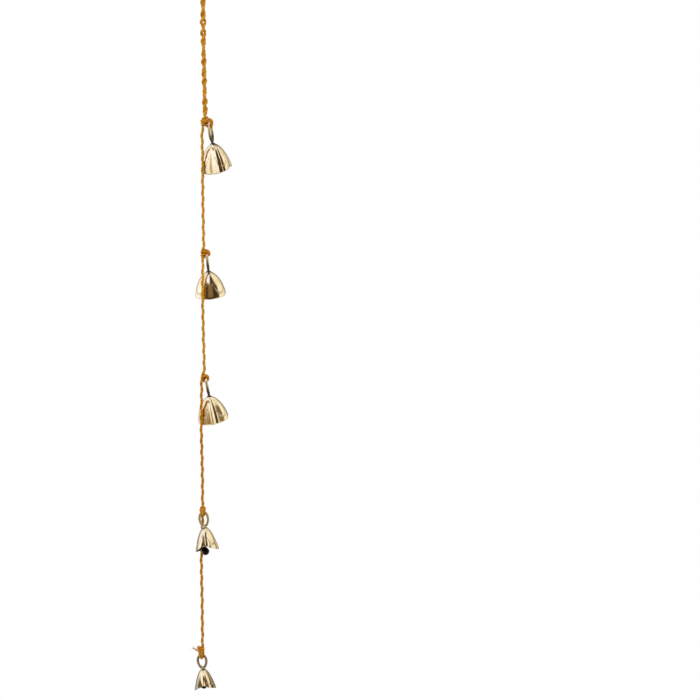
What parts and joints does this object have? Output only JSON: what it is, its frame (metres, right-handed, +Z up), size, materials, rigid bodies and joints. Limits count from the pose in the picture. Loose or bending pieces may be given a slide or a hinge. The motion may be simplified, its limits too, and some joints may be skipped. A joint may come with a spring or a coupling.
{
  "type": "hanging string of brass bells",
  "caption": "Hanging string of two-lobed brass clapper bells, each tied by its egg-shaped ring into one twisted orange cord that ends in a hanging loop at the top.",
  "frame": {"origin": "the inside top of the hanging loop, where a hook or a nail carries the string", "axes": "+Z up along the string, +X to the right as the picture shows it, +Y away from the viewer"},
  "size_m": [0.0384, 0.0369, 0.715],
  "materials": {
    "polished_brass": "polished and engraved with rows of short ticks",
    "hanger_brass": "cast brass, darkened in its corners",
    "clapper_wire": "bent iron wire, dull",
    "clapper_iron": "blackened iron",
    "cord": "twisted orange yarn with a gold thread"
  },
  "bodies": {
    "cord": {"cord_top": "cord", "cord_1_to_2": "cord", "cord_2_to_3": "cord", "cord_3_to_4": "cord", "cord_4_to_5": "cord", "hanging_loop": "cord", "cord_tail": "cord", "hanging_loop_knot": "cord", "bell_1_knot": "cord", "bell_2_knot": "cord", "bell_3_knot": "cord", "bell_4_knot": "cord", "bell_5_knot": "cord"},
    "bell_1": {"bell_1_shell": "polished_brass", "bell_1_hanger": "hanger_brass"},
    "clapper_1": {"bell_1_clapper_wire": "clapper_wire", "bell_1_clapper_ball": "clapper_iron"},
    "bell_2": {"bell_2_shell": "polished_brass", "bell_2_hanger": "hanger_brass"},
    "clapper_2": {"bell_2_clapper_wire": "clapper_wire", "bell_2_clapper_ball": "clapper_iron"},
    "bell_3": {"bell_3_shell": "polished_brass", "bell_3_hanger": "hanger_brass"},
    "clapper_3": {"bell_3_clapper_wire": "clapper_wire", "bell_3_clapper_ball": "clapper_iron"},
    "bell_4": {"bell_4_shell": "polished_brass", "bell_4_hanger": "hanger_brass"},
    "clapper_4": {"bell_4_clapper_wire": "clapper_wire", "bell_4_clapper_ball": "clapper_iron"},
    "bell_5": {"bell_5_shell": "polished_brass", "bell_5_hanger": "hanger_brass"},
    "clapper_5": {"bell_5_clapper_wire": "clapper_wire", "bell_5_clapper_ball": "clapper_iron"}
  },
  "joints": [
    {"name": "bell_1_swing", "type": "hinge", "parent": "cord", "child": "bell_1", "pos_m": [0.0068, -0.0016, -0.1768], "axis": [0.9599, -0.2675, 0.0845], "range_deg": [0, 40]},
    {"name": "bell_2_swing", "type": "hinge", "parent": "cord", "child": "bell_2", "pos_m": [0.0037, 0.002, -0.2983], "axis": [0.9962, 0, 0.0872], "range_deg": [0, 40]},
    {"name": "bell_3_swing", "type": "hinge", "parent": "cord", "child": "bell_3", "pos_m": [0.0029, 0.002, -0.4176], "axis": [0.9833, 0, 0.1822], "range_deg": [0, 40]},
    {"name": "bell_4_swing", "type": "hinge", "parent": "cord", "child": "bell_4", "pos_m": [0.0003, 0, -0.5454], "axis": [0.2168, 0.9744, -0.0593], "range_deg": [-40, 0]},
    {"name": "bell_5_swing", "type": "hinge", "parent": "cord", "child": "bell_5", "pos_m": [-0.0012, 0, -0.6814], "axis": [0.2105, 0.9776, -0.0085], "range_deg": [-40, 0]},
    {"name": "clapper_1_swing", "type": "hinge", "parent": "bell_1", "child": "clapper_1", "pos_m": [0.0098, 0.00318, -0.19573], "axis": [0.9613, -0.2756, 0], "range_deg": [-14, 46]},
    {"name": "clapper_2_swing", "type": "hinge", "parent": "bell_2", "child": "clapper_2", "pos_m": [0.0054, 0.00509, -0.31773], "axis": [1, 0, 0], "range_deg": [-26, 44]},
    {"name": "clapper_3_swing", "type": "hinge", "parent": "bell_3", "child": "clapper_3", "pos_m": [0.00645, 0.00509, -0.43678], "axis": [1, 0, 0], "range_deg": [-25, 43]},
    {"name": "clapper_4_swing", "type": "hinge", "parent": "bell_4", "child": "clapper_4", "pos_m": [0.00248, -0.00156, -0.56315], "axis": [0.2079, 0.9781, 0], "range_deg": [-28, 13]},
    {"name": "clapper_5_swing", "type": "hinge", "parent": "bell_5", "child": "clapper_5", "pos_m": [0.00086, -0.00059, -0.69821], "axis": [0.2079, 0.9781, 0], "range_deg": [-33, 21]}
  ]
}
